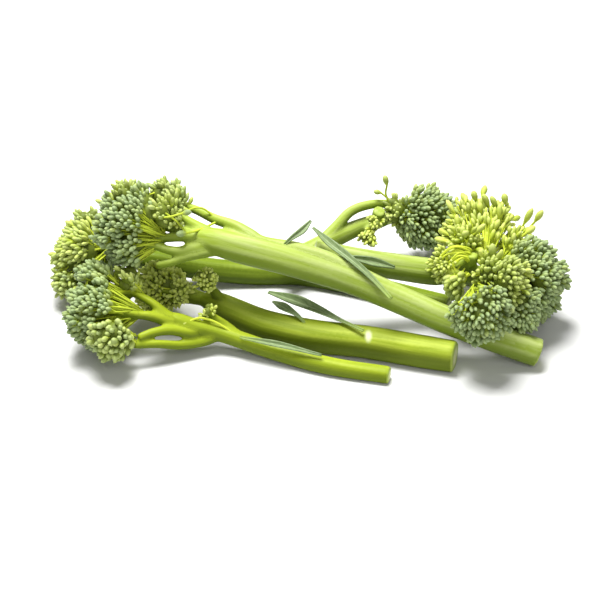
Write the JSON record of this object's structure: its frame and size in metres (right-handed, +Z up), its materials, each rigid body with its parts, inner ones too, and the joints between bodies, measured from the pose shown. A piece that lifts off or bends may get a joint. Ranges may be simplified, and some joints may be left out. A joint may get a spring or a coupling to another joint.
{
  "type": "broccolini bunch",
  "caption": "Bunch of broccolini spears lying in a loose pile, with lumpy heads of closed flower buds at both ends, branching green stalks and a few narrow leaves.",
  "frame": {"origin": "centre of the bounding box in x and y, on the surface that the bunch lies on", "axes": "+X along the bunch, towards the end with the crossing spear's cut stalk; +Y towards the back; +Z up"},
  "size_m": [0.2284, 0.1255, 0.066],
  "materials": {
    "pale_stalk": "smooth pale green plant skin",
    "dark_stalk": "smooth dark green plant skin",
    "lime_stalk": "smooth lime green plant skin",
    "grey_green_buds": "matte closed flower buds",
    "yellow_green_buds": "matte closed flower buds",
    "leaf_green": "matte leaf"
  },
  "bodies": {
    "root": {"crossing_stem": "pale_stalk", "crossing_head": "grey_green_buds", "crossing_long_leaf": "leaf_green", "crossing_small_leaf": "leaf_green", "right_stem": "pale_stalk", "right_head_dome": "grey_green_buds", "right_head_top": "yellow_green_buds", "right_head_inner": "yellow_green_buds", "right_head_curl": "yellow_green_buds", "right_leaf": "leaf_green", "back_right_stem": "pale_stalk", "back_right_head": "grey_green_buds", "back_right_side": "yellow_green_buds", "back_left_stem": "lime_stalk", "back_left_head": "grey_green_buds", "front_left_stem": "lime_stalk", "front_left_head": "grey_green_buds", "front_left_side": "yellow_green_buds", "front_left_leaf": "leaf_green", "thick_stem": "dark_stalk", "thick_head": "yellow_green_buds", "thick_side": "yellow_green_buds", "thick_long_leaf": "leaf_green", "thick_short_leaf": "leaf_green"}
  },
  "joints": []
}
